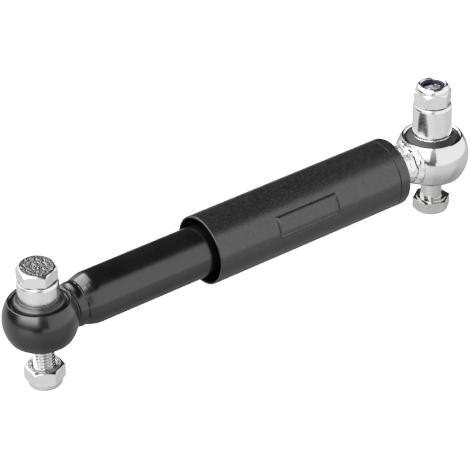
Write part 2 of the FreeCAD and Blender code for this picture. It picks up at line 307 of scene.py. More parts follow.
def rounded(points, closed=False, n=5, hold=0.16):
    """Outline with each corner that has a third number rounded to that radius.
    Long straight runs get a point close to each end, which keeps their shading flat."""
    pts = [(p[0], p[1], p[2] if len(p) > 2 else 0.0) for p in points]
    out = []
    k = len(pts)
    for i, (a, b, r) in enumerate(pts):
        if r <= 0 or (not closed and i in (0, k - 1)):
            out.append((a, b))
            continue
        p = np.array((a, b))
        u = np.array(pts[i - 1][:2]) - p
        v = np.array(pts[(i + 1) % k][:2]) - p
        lu, lv = np.linalg.norm(u), np.linalg.norm(v)
        u, v = u / lu, v / lv
        half = math.acos(max(-1.0, min(1.0, float(u @ v)))) / 2
        t = min(r / math.tan(half), 0.48 * lu, 0.48 * lv)
        r = t * math.tan(half)
        c = p + (u + v) / np.linalg.norm(u + v) * (r / math.sin(half))
        s, e = p + u * t - c, p + v * t - c
        sweep = math.pi - 2 * half
        turn = 1.0 if s[0] * e[1] - s[1] * e[0] > 0 else -1.0
        for j in range(n + 1):
            w = turn * sweep * j / n
            out.append((c[0] + s[0] * math.cos(w) - s[1] * math.sin(w), c[1] + s[0] * math.sin(w) + s[1] * math.cos(w)))
    full = []
    m = len(out)
    for i in range(m):
        full.append(out[i])
        if i == m - 1 and not closed:
            break
        p, q = np.array(out[i]), np.array(out[(i + 1) % m])
        d = np.linalg.norm(q - p)
        if d > 5 * hold:
            full.append(tuple(p + (q - p) * hold / d))
            full.append(tuple(q + (p - q) * hold / d))
    clean = [full[0]]
    for p in full[1:]:
        if math.hypot(p[0] - clean[-1][0], p[1] - clean[-1][1]) > 1e-5:
            clean.append(p)
    if closed and math.hypot(clean[0][0] - clean[-1][0], clean[0][1] - clean[-1][1]) < 1e-5:
        clean.pop()
    return clean


def even_turn(n):
    return np.arange(n) * (2 * math.pi / n)


def hex_turn(corner_deg):
    """Angles round a hexagon, closer together at its corners."""
    side = [0.0, 0.5, 1.0, 1.6, 2.4, 3.6, 5.5, 9.0, 14.0, 20.0, 26.0]
    one = sorted(set([-s for s in side if s] + side + [-30.0]))
    return np.radians(np.concatenate([np.array(one) + corner_deg + 60.0 * i for i in range(6)]))


def hex_radius(phi, flat, corner_deg, rho):
    """Radius of a hexagon with rounded corners, flat = centre to side."""
    a = (np.degrees(phi) - corner_deg) % 60.0
    beta = np.radians(np.where(a > 30.0, a - 60.0, a))        # angle from the nearest corner
    c = (flat - rho) / math.cos(math.radians(30))
    side = flat / np.cos(math.radians(30) - np.abs(beta))
    reach = c * np.sin(np.abs(beta))
    round_ = c * np.cos(beta) + np.sqrt(np.maximum(rho * rho - reach ** 2, 0.0))
    tangent = math.radians(30) - math.atan((flat - rho) * math.tan(math.radians(30)) / flat)
    return np.where(np.abs(beta) < tangent, round_, side)


def soft_min(a, b, k=26.0):
    return np.minimum(a, b) - np.log1p(np.exp(-np.abs(a - b) * k)) / k


def rows_x(profile, phi):
    """Rows of points for an (x, r) outline turned about the stroke axis."""
    p = np.array(profile)
    x = np.repeat(p[:, :1], len(phi), 1)
    return np.stack([x, p[:, 1:] * np.cos(phi), p[:, 1:] * np.sin(phi)], -1)


def rows_z(profile, phi, xc):
    """Rows of points for an (r, z) outline turned about a bolt axis."""
    p = np.array(profile)
    z = np.repeat(p[:, 1:], len(phi), 1)
    return np.stack([xc + p[:, :1] * np.cos(phi), p[:, :1] * np.sin(phi), z], -1)


def skin(rows, closed):
    """Vertices and faces of a tube of rows. Ends that shrink to a point get a fan."""
    rows = np.asarray(rows, float)
    tips = []
    if not closed:
        for end in (0, -1):
            if np.ptp(rows[end], axis=0).max() < 1e-6:
                tips.append((end, rows[end][0].copy()))
        rows = rows[(1 if any(e == 0 for e, _ in tips) else 0):(len(rows) - 1 if any(e == -1 for e, _ in tips) else len(rows))]
    nv, nu = rows.shape[:2]
    i = np.arange(nv if closed else nv - 1)
    ii, jj = np.meshgrid(i, np.arange(nu), indexing="ij")
    j2, i2 = (jj + 1) % nu, (ii + 1) % nv
    quads = np.stack([ii * nu + jj, ii * nu + j2, i2 * nu + j2, i2 * nu + jj], -1).reshape(-1, 4)
    verts = rows.reshape(-1, 3)
    faces = quads.tolist()
    for end, tip in tips:
        k = len(verts)
        verts = np.vstack([verts, tip])
        base = 0 if end == 0 else (nv - 1) * nu
        for j in range(nu):
            a, b = base + j, base + (j + 1) % nu
            faces.append([k, b, a] if end == 0 else [k, a, b])
    return verts, faces


def signed_volume(v, faces):
    t = np.array([[f[0], f[k], f[k + 1]] for f in faces for k in range(1, len(f) - 1)])
    return float(np.einsum("ij,ij->i", v[t[:, 0]], np.cross(v[t[:, 1]], v[t[:, 2]])).sum())


def piece(name, verts, faces, material, body, node, sharp=32.0):
    verts = np.asarray(verts, float)
    if signed_volume(verts, faces) < 0:
        faces = [f[::-1] for f in faces]
    me = bpy.data.meshes.new(name)
    me.from_pydata(((verts + (0.0, 0.0, SEAT)) / 1000.0).tolist(), [], faces)
    me.shade_smooth()
    me.set_sharp_from_angle(angle=math.radians(sharp))
    me.validate()
    ob = bpy.data.objects.new(name, me)
    bpy.context.collection.objects.link(ob)
    for mt in material if isinstance(material, (list, tuple)) else [material]:
        me.materials.append(mt)
    if node:
        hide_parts(node)
    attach(ob, body)
    return ob


def turned_x(name, profile, closed, material, body, node, n=192, sharp=32.0):
    v, f = skin(rows_x(profile, even_turn(n)), closed)
    return piece(name, v, f, material, body, node, sharp)


def turned_z(name, profile, xc, closed, material, body, node, n=192, sharp=32.0):
    v, f = skin(rows_z(profile, even_turn(n), xc), closed)
    return piece(name, v, f, material, body, node, sharp)


def shake(p, scale, seed=0.0):
    return noise.noise(Vector((p[0] * scale + seed, p[1] * scale - seed, p[2] * scale + 0.37 * seed)))


# --------------------------------------------------------------------- the eyes
def eye_profile(R, r, h, lip, bevel, rim_out, rim_in):
    a = math.degrees(math.asin((h - 1.1) / R))
    zl = math.sqrt(r * r - lip * lip)
    b = math.degrees(math.asin(zl / r))
    rt = math.sqrt(R * R - h * h)
    top = [(lip + bevel, h, rim_in), (lip, max(zl + 0.02, h - bevel), 0.25)]
    pts = arc(0, 0, R, -a, a, 44)
    pts += [(rt, h, rim_out)] + top
    pts += arc(0, 0, r, b, -b, 30)
    pts += [(p[0], -p[1], p[2]) for p in reversed(top)] + [(rt, -h, rim_out)]
    return rounded(pts, True)


turned_z("lower_eye_ring_visual", eye_profile(20.09, 18.1, 11.2, 15.2, 1.0, 0.9, 0.55), 0.0, True, MAT["black_paint"], "damper_body", "lower_eye_ring", 256)
turned_z("upper_eye_ring_visual", eye_profile(20.79, 18.7, 11.9, 15.35, 0.85, 0.08, 0.10), SPAN, True, MAT["plated"], "rod_assembly", "upper_eye_ring", 256)


def bush_profile(rb, z_edge, lip_hi, lip_lo):
    e = math.degrees(math.asin(z_edge / rb))
    return rounded([(p[0], -p[1]) + tuple(p[2:]) for p in reversed(lip_lo)] + arc(0, 0, rb, -e, e, 30) + list(lip_hi), True)


lip_l = [(15.1, 9.0, 0.2), (14.5, 8.6, 0.4), (14.0, 9.2, 0.5), (13.45, 11.2, 0.9), (12.5, 12.22, 0.9), (11.5, 12.15, 0.3), (11.04, 11.9, 0.1)]
turned_z("lower_bush_visual", bush_profile(18.02, 9.4, lip_l, lip_l), 0.0, True, MAT["rubber"], "lower_bush", "lower_bush_rubber", 224)
lip_u = [(14.75, 10.2, 0.3), (14.6, 10.9, 0.4), (14.2, 11.45, 0.4)]
turned_z("upper_bush_visual", bush_profile(18.62, 10.2, lip_u + [(11.5, 13.3, 0.4), (11.04, 13.55, 0.1)], lip_u + [(11.5, 12.45, 0.4), (11.04, 12.58, 0.1)]),
         SPAN, True, MAT["rubber_matt"], "upper_bush", "upper_bush_rubber", 224)


def sleeve_profile(top, grooves):
    R, b, lo = 11.0, 6.15, -14.3
    pts = [(b, lo + 0.35, 0.1), (b + 0.35, lo, 0.1), (R - 0.55, lo, 0.12), (R, lo + 0.55, 0.15)]
    for z in grooves:
        s = 1 if z > 0 else -1
        g = [(R, z + s * 1.15, 0.15), (R - 0.42, z + s * 0.45, 0.2), (R - 0.42, z - s * 0.35, 0.2), (R, z - s * 0.8, 0.1)]
        pts += g if s < 0 else g[::-1]
    return rounded(pts + [(R, top - 1.5, 1.2), (R - 0.5, top, 0.25), (b + 0.35, top, 0.1), (b, top - 0.35, 0.1)], True)


turned_z("lower_sleeve_visual", sleeve_profile(23.27, ()), 0.0, True, MAT["zinc_turned"], "lower_spacer", "lower_sleeve", 224)
turned_z("upper_sleeve_visual", sleeve_profile(32.3, (13.75,)), SPAN, True, MAT["zinc_turned"], "upper_spacer", "upper_sleeve", 224)

# -------------------------------------------------- tube, collar and lower weld
turned_x("reservoir_tube_visual", rounded([
    (22.5, 0.0), (22.5, 11.5, 0.2), (22.8, 12.4, 0.25), (25.0, 13.15, 9.0), (27.2, 13.8, 9.0), (29.2, 14.27, 9.0), (30.9, 14.4, 9.0), (172.4, 14.4, 0.9),
    (173.6, 13.2, 0.5), (173.6, 11.3, 0.3), (173.1, 10.8, 0.2), (172.4, 10.8), (172.4, 12.8), (31.5, 12.8, 1.0), (27.0, 9.0), (27.0, 0.0)]),
    False, MAT["black_paint"], "damper_body", "reservoir_tube", 224)

cap = math.degrees(math.asin(11.1 / 19.0))
turned_x("lower_collar_visual", rounded(
    [(19.0, 0.0)] + arc(0, 0, 19.0, 4, cap, 8) + [(15.7, 11.3, 0.2), (17.0, 11.4, 0.12), (17.55, 11.97, 0.25), (19.5, 12.4, 4.0), (21.7, 12.4, 0.3), (22.1, 11.6, 0.2), (22.45, 11.4), (22.45, 0.0)]),
    False, MAT["black_paint"], "damper_body", "lower_eye_neck", 224)


def weld_ring(x0, R, r, n=256, m=18, beat=64, depth=0.10):
    """Small round bead with the ripples of a weld run."""
    rows = []
    for k in range(m):
        a = 2 * math.pi * k / m
        row = []
        for j in range(n):
            p = 2 * math.pi * j / n
            w = shake((math.cos(p) * 3, math.sin(p) * 3, 0), 1.0, 3.1) * 0.45 + shake((math.cos(p) * 9, math.sin(p) * 9, math.cos(a)), 1.0, 5.3) * 0.30
            rr = r * (0.90 + w + depth * abs(math.sin(beat * p / 2 + 1.2 * math.cos(a))))
            xm = x0 + 0.35 * shake((math.cos(p) * 4, math.sin(p) * 4, 2.0), 1.0, 8.1)
            row.append((xm + rr * math.cos(a), (R + rr * math.sin(a)) * math.cos(p), (R + rr * math.sin(a)) * math.sin(p)))
        rows.append(row)
    return skin(rows, True)


v, f = weld_ring(22.3, 11.25, 0.85, m=24, depth=0.10)
piece("lower_weld_visual", v, f, MAT["black_paint"], "damper_body", "lower_weld_bead", 60)


# ------------------------------------------------------------------- dust cover
def cover_outer(xs, phi):
    """Outer radius of the cover: an empty frame moulded into its front, a groove with a low rib inside it."""
    x, p = np.meshgrid(xs, np.degrees(phi), indexing="ij")
    y = np.abs(((p - 159.75 + 180) % 360) - 180) * math.pi / 180 * 19.55          # along the girth, mm
    x = np.abs(x - 161.5)

    d = np.maximum(x - 20.3, y - 6.2)

    def bump(at, half):
        t = np.clip(1.0 - np.abs(d - at) / half, 0, 1)
        return t * t * (3 - 2 * t)
    return 19.55 - 0.48 * bump(0.0, 0.50) + 0.22 * bump(-0.85, 0.45)


def lines(lo, hi, step, dense, half, fine):
    """Positions from lo to hi, closer together around the dense ones."""
    s = set(np.round(np.arange(lo, hi + step / 2, step), 4)) | {lo, hi}
    for d in dense:
        s = {v for v in s if abs(v - d) > half or v in (lo, hi)}
        s |= set(np.round(np.arange(d - half, d + half + fine / 2, fine), 4))
    return np.array(sorted(s))


deg = 180 / math.pi / 19.55
cphi = lines(0.0, 360.0, 2.0, [159.75 + s * 5.9 * deg for s in (-1, 1)], 0.975 * deg, 0.075 * deg)
cphi = np.radians(cphi[:-1])
cxs = lines(103.7, 225.1, 3.0, [161.5 + s * 20.0 for s in (-1, 1)], 0.975, 0.075)
body_rows = np.stack([np.repeat(cxs[:, None], len(cphi), 1), cover_outer(cxs, cphi) * np.cos(cphi), cover_outer(cxs, cphi) * np.sin(cphi)], -1)
mouth = rounded([(104.6, 18.5), (101.6, 18.5, 0.12), (101.4, 18.62, 0.08), (101.4, 19.55, 0.48), (103.6, 19.55)])
seam = rounded([(225.15, 19.55), (225.21, 19.55, 0.03), (225.24, 19.5, 0.03), (225.24, 18.55)])
v, f = skin(np.concatenate([rows_x(mouth, cphi), body_rows, rows_x(seam, cphi), rows_x([(225.0, 18.55), (160.0, 18.55), (104.8, 18.55)], cphi)]), True)
piece("dust_cover_visual", v, f, MAT["cover_plastic"], "rod_assembly", "dust_cover", 40)

turned_x("cover_end_cap_visual", rounded([
    (219.0, 17.5), (230.0, 17.5, 0.6), (231.3, 16.2, 0.6), (231.3, 5.9), (232.8, 5.9, 0.15), (232.8, 19.55, 1.6), (225.84, 19.55, 0.05), (225.78, 19.48, 0.03),
    (225.78, 18.52), (219.6, 18.52, 0.3), (219.0, 18.0, 0.2)], True), True, MAT["cover_plastic"], "rod_assembly", "cover_end_cap", 224)

# ------------------------------------------------------- upper neck and its weld
cap = math.degrees(math.asin(11.25 / 19.8))


def foot(p):
    """Where the weld's edge lies on the neck at angle p: a wandering line."""
    c, s = math.cos(p), math.sin(p)
    return 244.2 + 0.75 * shake((c * 2.4, s * 2.4, 0.0), 1.0, 5.0) + 0.40 * shake((c * 8, s * 8, 0.0), 1.0, 2.6)


def creases_and_shade(p, x):
    """How much painted shade the skin gets at (p, x), and how deep its crease is: the weld's edge and a second, broken
    one.
    """
    c, s = math.cos(p), math.sin(p)
    edge = max(0.0, 1.0 - abs(x - foot(p) + 0.1) / 0.42) * min(1.0, max(0.0, 0.75 + 1.4 * shake((c * 5, s * 5, 1.0), 1.0, 3.9)))
    second = foot(p) - 2.3 + 1.1 * shake((c * 4.2, s * 4.2, 3.0), 1.0, 8.8) - 1.2 * math.cos(2 * (p - 2.6))
    second = max(0.0, 1.0 - abs(x - second) / 0.34) * min(1.0, max(0.0, 0.55 + 2.0 * shake((c * 3.4, s * 3.4, 6.0), 1.0, 1.3)))
    third = foot(p) - 1.1 + 1.3 * shake((c * 6.5, s * 6.5, 9.0), 1.0, 4.7)
    third = max(0.0, 1.0 - abs(x - third) / 0.30) * min(1.0, max(0.0, 0.25 + 2.2 * shake((c * 5.2, s * 5.2, 2.0), 1.0, 6.6)))
    return max(edge, second, third)


def keep_painted_shade(ob, values):
    a = ob.data.attributes.new("seam", "FLOAT", "POINT")
    a.data.foreach_set("value", values)


neck_n = 300
npr = rounded([(242.0, 0.0), (242.0, 5.52), (232.82, 5.52), (232.82, 9.9, 0.2), (235.0, 10.0, 1.0), (239.0, 10.4, 2.0), (242.0, 10.9, 2.0), (246.0, 11.2)]
              + [(SPAN - 19.8 * math.cos(math.radians(a)), 19.8 * math.sin(math.radians(a))) for a in np.linspace(cap - 1, 3, 8)] + [(SPAN - 19.8, 0.0)])
full = []
for q, w in zip(npr, npr[1:] + [npr[-1]]):
    full.append(q)
    if 232.9 < q[0] < 246.0 and w[0] > q[0] and q[1] > 9.0:
        k = int((w[0] - q[0]) / 0.15)
        full += [(q[0] + (w[0] - q[0]) * i / (k + 1), q[1] + (w[1] - q[1]) * i / (k + 1)) for i in range(1, k + 1)]
nrows = rows_x(full, even_turn(neck_n))
shade = np.zeros(nrows.shape[:2])
for i, (q, row) in enumerate(zip(full, nrows)):
    if 234.0 < q[0] < 246.0 and q[1] > 9.5:
        # hot-worked skin under the plating, rougher towards the weld
        g = min(1.0, (q[0] - 234.0) / 5.0)
        for j in range(neck_n):
            e = 0.20 * shake(row[j] * (0.8, 1, 1), 0.42, 4.4) + 0.07 * shake(row[j], 1.3, 7.7)
            shade[i, j] = creases_and_shade(2 * math.pi * j / neck_n, q[0])
            row[j, 1:] *= 1.0 + (g * e - 0.30 * shade[i, j]) / q[1]
v, f = skin(nrows, False)
ob = piece("upper_neck_visual", v, f, MAT["plated_skin"], "rod_assembly", "upper_eye_neck", 60)
# the crease values are also kept as painted shade
inner = shade[1:-1].ravel()
keep_painted_shade(ob, np.concatenate([inner, np.zeros(len(ob.data.vertices) - len(inner))]))


def upper_weld(n=420, m=54):
    """Uneven weld between the neck and the ball, plated over."""
    rows, dark = [], []
    for k in range(m):
        t = k / (m - 1)
        row = []
        for j in range(n):
            p = 2 * math.pi * j / n
            c, s = math.cos(p), math.sin(p)
            a = foot(p)
            end = 248.35 + 0.35 * shake((c * 3.0, s * 3.0, 2.0), 1.0, 7.1)
            x = a + (end - a) * t
            r = 10.55 + 2.45 * t + 0.95 * (4 * t * (1 - t)) ** 0.55
            # ripples of the run
            wave = abs(math.sin(19 * p + 2.4 * t + 2.0 * shake((c * 2, s * 2, 5), 1.0, 3.3)))
            r += (0.14 * wave + 0.40 * shake((x * 0.35, c * 4.5, s * 4.5), 1.0, 1.7) + 0.12 * shake((x * 1.2, c * 13, s * 13), 1.0, 6.1)) * math.sin(math.pi * t) ** 0.7
            r = min(r, 11.45 / max(1e-6, abs(s)))               # stays between the ball's flat rims
            row.append((x, r * c, r * s))
            # painted shade: darker at the weld's foot against the neck and in the crease where the runs meet, with dark
            # spots scattered at random
            meet = max(0.0, 1.0 - abs(t - 0.86) / 0.10) * min(1.0, max(0.0, 0.35 + 0.8 * math.cos(p - 2.95) + 1.2 * shake((c * 4, s * 4, 7.0), 1.0, 2.2)))
            pits = min(1.0, max(0.0, 5.0 * (shake((x * 1.1, c * 9, s * 9), 1.0, 9.4) - 0.30)))
            dark.append(max(1.0 - t / 0.16, meet, pits, 0.0))
        rows.append(row)
    # close it inside the ball's wall and back along the neck
    for x, r in ((248.9, 11.2), (247.0, 10.3), (244.6, 10.3)):
        rows.append([(x, r * math.cos(2 * math.pi * j / n), r * math.sin(2 * math.pi * j / n)) for j in range(n)])
    return skin(rows, True) + (np.array(dark + [0.0] * (3 * n)),)


v, f, dark = upper_weld()
ob = piece("upper_weld_visual", v, f, MAT["plated_skin"], "rod_assembly", "upper_weld_bead", 70)
keep_painted_shade(ob, dark)

# -------------------------------------------------------------------- fasteners
PITCH = 1.75


def thread(phi, z, zref, crest=5.9, depth=0.95):
    """Radius of a right-hand 60 degree thread."""
    u = ((z - zref) / PITCH - phi / (2 * math.pi)) % 1.0
    d = np.minimum(u, 1 - u) * PITCH
    cut = np.clip((d - 0.11) * 1.732, 0.0, None)
    return crest - soft_min(cut, np.full_like(cut, depth), 9.0)


def bolt(name, xc, seat, up, length, corner, body, node, zref, lean, slope, metal):
    """Hex bolt; seat is its bearing face, up = 1 if the head is on top.
    lean = how far the forged head's round chamfer sits off the hexagon's centre,
    slope = how its top falls off (constant, along x, along y)."""
    phi = hex_turn(corner)
    face, top = 0.8, 8.0
    run = -(length - 30.0)
    one = np.ones(len(phi))
    along = lean[0] * np.cos(phi) + lean[1] * np.sin(phi)
    off2 = lean[0] ** 2 + lean[1] ** 2
    # distances from the bearing face, head positive
    rows, kind = [], []

    def add(z, r, k):
        rows.append((z, r))
        kind.append(k)
    hx = hex_radius(phi, 9.5, corner, 0.45)

    def chamfer(z):
        rc = 9.25 + (top - z) / 0.80
        return soft_min(hx, along + np.sqrt(rc * rc - off2 + along * along), 16.0)
    edge = chamfer(top)
    for t in np.concatenate([[0.0, 0.03], np.linspace(0.08, 0.93, 19), [0.945, 0.96, 0.975, 0.99]]):
        add(top, edge * t, "top")
    for z in np.concatenate([top - 0.03 - 0.05 * np.arange(6) ** 1.3, np.linspace(top - 0.5, top - 3.2, 44), np.linspace(top - 3.4, face + 0.5, 5), [face + 0.25, face + 0.12, face + 0.05]]):
        add(z, chamfer(z), "head")
    for z, d in ((face + 0.01, 0.04), (face, 0.12)):
        add(z, hx - d, "seat")
    for r, z in ((9.15, face), (8.60, face), (8.43, face - 0.03), (8.35, face - 0.12), (8.35, 0.1), (8.32, 0.03), (8.25, 0.0), (7.6, 0.0), (6.9, 0.0), (6.45, 0.0)):
        add(z, np.minimum(one * r, hx), "seat")
    for z, r in ((-0.08, 6.18), (-0.25, 6.04), (-0.5, 6.0), (-1.5, 6.0), (run + 2.0, 6.0), (run + 0.9, 6.0)):
        add(z, one * r, "shank")
    for z in np.arange(run + 0.8, -length + 0.48, -PITCH / 16):
        world = seat + up * z
        t = thread(phi, np.full(len(phi), world), zref)
        fade = np.clip((run + 0.8 - z) / 2.6, 0, 1)
        r = (6.0 - 0.1 * fade) - (5.9 - t) * fade
        point = 4.35 + (z + length - 0.45) * 0.95
        add(z, soft_min(r, np.full_like(r, point), 20.0), "thread")
    for z, r in [(-length, q) for q in (4.2, 3.9, 3.5, 3.1, 2.7, 2.3, 1.9, 1.5, 1.1, 0.7, 0.35, 0.0)]:
        add(z, one * r, "tip")
    pts, dark = [], []
    for (z, r), k in zip(rows, kind):
        zz = np.full(len(phi), seat + up * z)
        x, y = xc + r * np.cos(phi), r * np.sin(phi)
        root_and_rim_shade = np.zeros(len(phi))
        if k == "thread":
            # painted shade in the thread's roots
            root_and_rim_shade = 0.55 * np.clip((5.62 - r) / 0.45, 0.0, 1.0) * (z < run - 0.6) * (z > -length + 1.6)
        if k in ("top", "head"):
            g = min(1.0, max(0.0, (z - 2.0) / (top - 2.0)))
            zz += up * g * g * (3 - 2 * g) * (slope[0] + slope[1] * (x - xc) + slope[2] * y)
        if k == "top":
            # forged skin: slightly dished, with an uneven surface
            for j in range(len(phi)):
                t = r[j] / edge[j]
                e = shake((x[j], y[j], 0), 0.75, 2.0) * 0.08 + shake((x[j], y[j], 4), 1.5, 6.0) * 0.10
                groove = max(0.0, 1.0 - abs(t - 0.96) / 0.03)
                # painted shade: a dark ring in the groove round the top's edge
                root_and_rim_shade[j] = min(1.0, max(0.0, (t - 0.90) / 0.04)) if t < 0.985 else 0.0
                zz[j] += up * (-0.12 * (1 - t * t) - 0.02 - 0.22 * groove + (e if t > 0 else 0.0) * min(1.0, (1 - t) * 6.0))
        if k == "tip":
            # end face, slightly domed and uneven
            for j in range(len(phi)):
                zz[j] += up * max(0.0, 0.42 * (r[j] / 4.2) ** 2 + 0.10 * shake((x[j], y[j], 9), 0.8, 3.0) * (1 if 0 < r[j] < 4.0 else 0))
        pts.append(np.stack([x, y, zz], -1))
        dark.append(root_and_rim_shade)
    pts[0][:] = pts[0].mean(0)
    pts[-1][:] = pts[-1].mean(0)
    v, f = skin(np.array(pts), False)
    ob = piece(name, v, f, [MAT[metal], MAT["zinc_forged"], MAT["zinc_face"]], body, node, 38)
    inner = np.array(dark[1:-1]).ravel()
    keep_painted_shade(ob, np.concatenate([inner, np.zeros(len(ob.data.vertices) - len(inner))]))
    return ob, len(phi)


def paint_ends(ob, nu, rings):
    """The forged skin's material on the first rings of faces, the cut face's on the last ones."""
    me = ob.data
    idx = np.zeros(len(me.polygons), dtype=np.int32)
    quads = len(idx) - 2 * nu
    idx[:nu * (rings - 1)] = idx[quads:quads + nu] = 1
    idx[quads - 10 * nu:quads] = idx[quads + nu:] = 2
    me.polygons.foreach_set("material_index", idx)


ob, nu = bolt("lower_bolt_visual", 0.0, 23.3, 1, 65.0, 21.0, "lower_fastener", "lower_bolt", 0.4, (0.45, -0.08), (0.1, -0.005, 0.096), "zinc")
paint_ends(ob, nu, 25)
# the upper bolt takes the darker zinc copy: painted shade under the upper eye
ob, nu = bolt("upper_bolt_visual", SPAN, -27.3, -1, 69.1, 33.5, "upper_fastener", "upper_bolt", 0.4, (0.0, 0.0), (0.0, 0.0, 0.0), "zinc_in_painted_shade")
paint_ends(ob, nu, 25)


def lock_nut(name, xc, seat, up, corner, body, node, zref):
    """Self-locking nut; seat is its bearing face, up = 1 if the collar is on top."""
    phi = hex_turn(corner)
    one = np.ones(len(phi))
    hx = hex_radius(phi, 9.5, corner, 0.45)
    dome = rounded([(11.9, 6.55), (10.97, 7.4, 0.3), (9.5, 8.75, 0.10), (9.38, 9.8, 1.5), (9.05, 10.8, 1.5), (8.42, 11.55, 1.0), (7.6, 12.02)], n=8)
    dz = np.array([p[1] for p in dome])
    dr = np.array([p[0] for p in dome])
    pts, dark, cone = [], [], []

    def add(z, r):
        pts.append(np.stack([xc + r * np.cos(phi), r * np.sin(phi), np.full(len(phi), seat + up * z)], -1))
        dark.append(one * (0.75 * max(0.0, 1.0 - abs(z - 8.75) / 0.18) if r.min() > 8.0 else 0.0))          # painted shade in the crease under the collar
        cone.append((hx - r > 0.06) & (6.6 < z < 8.72) & (r > 9.0))                                         # cut corners
    for r in (6.55, 7.0, 8.2, 8.75):
        add(0.0, one * r)
    for z in np.concatenate([np.linspace(0.02, 1.5, 26), [1.7, 2.2, 4.0, 5.5, 6.2], np.linspace(6.6, 9.6, 61), np.linspace(9.7, 11.6, 17)]):
        base = 8.95 + z * 1.68
        top = np.interp(z, dz, dr) if z > 6.55 else 12.0
        add(z, soft_min(soft_min(hx, one * base, 22.0), one * top, 22.0))
    for r, z in rounded([(8.1, 11.73), (7.9, 11.85), (7.62, 12.0, 0.25), (7.3, 11.92, 0.35), (6.75, 11.5, 0.3), (6.62, 11.23, 0.05)], n=4):
        add(z, one * r)
    for r, z in ((7.28, 11.2), (7.3, 11.1), (7.3, 9.0), (7.28, 8.9)):
        add(z, one * r)
    for z in np.arange(8.86, 0.03, -PITCH / 16):
        t = thread(phi, np.full(len(phi), seat + up * z), zref) + 0.14
        mouth_ = 6.5 - z * 1.0
        t = np.maximum(t, mouth_)
        add(z, t)
    v, f = skin(np.array(pts), True)
    ob = piece(name, v, f, [MAT["zinc"], MAT["zinc_face"], MAT["zinc_cut"]], body, node, 38)
    idx = np.where(np.array(cone).ravel(), 2, 0).astype(np.int32)
    idx[:3 * len(phi)] = 1                                     # the bearing face
    ob.data.polygons.foreach_set("material_index", idx)
    keep_painted_shade(ob, np.array(dark).ravel())
    return ob


lock_nut("lower_nut_visual", 0.0, -28.6, -1, 28.5, "lower_lock_nut", "lower_nut", 0.4)
lock_nut("upper_nut_visual", SPAN, 32.35, 1, 34.0, "upper_lock_nut", "upper_nut", 0.4)


def nylon_ring(name, xc, seat, up, free, body, node):
    if free:
        prof = [(5.13, 8.92, 0.1), (7.24, 8.92, 0.1), (7.24, 11.15, 0.1), (6.58, 11.15, 0.05), (6.56, 11.45, 0.2), (6.2, 11.62, 0.4), (5.75, 11.5, 0.5), (5.32, 11.0, 0.4), (5.13, 10.3, 0.3)]
    else:
        prof = [(5.98, 8.92, 0.1), (7.24, 8.92, 0.1), (7.24, 11.17, 0.1), (6.4, 11.17, 0.3), (5.98, 10.8, 0.2)]
    pr = [(r, seat + up * z) for r, z in rounded(prof, True)]
    return turned_z(name, pr, xc, True, MAT["nylon"], body, node, 128)


nylon_ring("lower_nut_insert_visual", 0.0, -28.6, -1, False, "lower_lock_ring", "lower_nut_insert")
nylon_ring("upper_nut_insert_visual", SPAN, 32.35, 1, True, "upper_lock_ring", "upper_nut_insert")

# -------------------------------------------------- finishes of the inner pieces
INNER = {
    "steel": ["pressure_tube", "base_valve_bolt", "base_valve_shims", "base_check_plate", "base_check_spring", "seal_garter_spring", "seal_retainer", "rebound_shims",
              "piston_nut", "piston_check_plate", "piston_check_spring", "check_stop_washer", "cover_retaining_washer"],
    "sintered": ["base_valve_body", "rod_guide", "piston"],
    "bronze": ["rod_guide_bush"],
    "rubber": ["guide_o_ring", "rod_seal", "bump_stop"],
    "plated": ["piston_rod"],
    "slide_plastic": ["piston_band", "rebound_stop"],
}
for key, names in INNER.items():
    for nm in names:
        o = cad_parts[nm]
        if o.material_slots:
            for s in o.material_slots:
                s.material = MAT[key]
        else:
            o.data.materials.append(MAT[key])

# the two star springs: each CAD spring's mesh is copied, baked in place and shown instead of the CAD part; the bodies
# and the hub and tip radii listed with them are not used
for nm, still, moving, hub, tip in (("base_check_spring", "damper_body", "base_check_valve", 40.17, 37.80),
                                    ("piston_check_spring", "rod_assembly", "piston_check_valve", 109.96, 108.26)):
    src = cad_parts[nm]
    me = src.data.copy()
    me.transform(src.matrix_world)
    ob = bpy.data.objects.new(nm + "_visual", me)
    bpy.context.collection.objects.link(ob)
    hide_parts(nm)
    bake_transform(ob)

# ------------------------------------------------------------------ floor, light
# the part is carried by its two bolts, so the floor lies below the lowest place that a loosened nut reaches
FLOOR_Z = float(cad_box[0][2]) - 0.06
rings = [0.0, 0.2, 0.5, 1.0, 2.0, 3.5]
fl_rows = [[(r * math.cos(2 * math.pi * j / 96) + 0.13, r * math.sin(2 * math.pi * j / 96), FLOOR_Z) for j in range(96)] for r in rings]
fv, ff = skin(np.array(fl_rows), False)
fme = bpy.data.meshes.new("studio_floor")
fme.from_pydata(np.asarray(fv).tolist(), [], [g[::-1] for g in ff])
floor = bpy.data.objects.new("studio_floor", fme)
bpy.context.collection.objects.link(floor)
fm = Nodes("pale_floor")
fm.finish(fm.mix(fm.noise(3, 2), (0.20, 0.20, 0.20), (0.21, 0.21, 0.21)), None, None,
          **{"Roughness": 0.9, "Specular IOR Level": 0.0, "Emission Color": (1, 1, 1, 1), "Emission Strength": 2.05})
fme.materials.append(fm.mat)
# lit evenly from below to pure white; the light that it gives back is part of the studio below
floor.visible_glossy = floor.visible_diffuse = floor.visible_transmission = floor.visible_shadow = False

CAM_AZ, CAM_EL, CAM_ROLL = math.radians(-35.947), math.radians(31.877), math.radians(-1.905)

world = bpy.data.worlds.new("studio")
scene.world = world
world.use_nodes = True
wn, wl = world.node_tree.nodes, world.node_tree.links
bg = next(n for n in wn if n.type == "BACKGROUND")
tc = wn.new("ShaderNodeTexCoord")


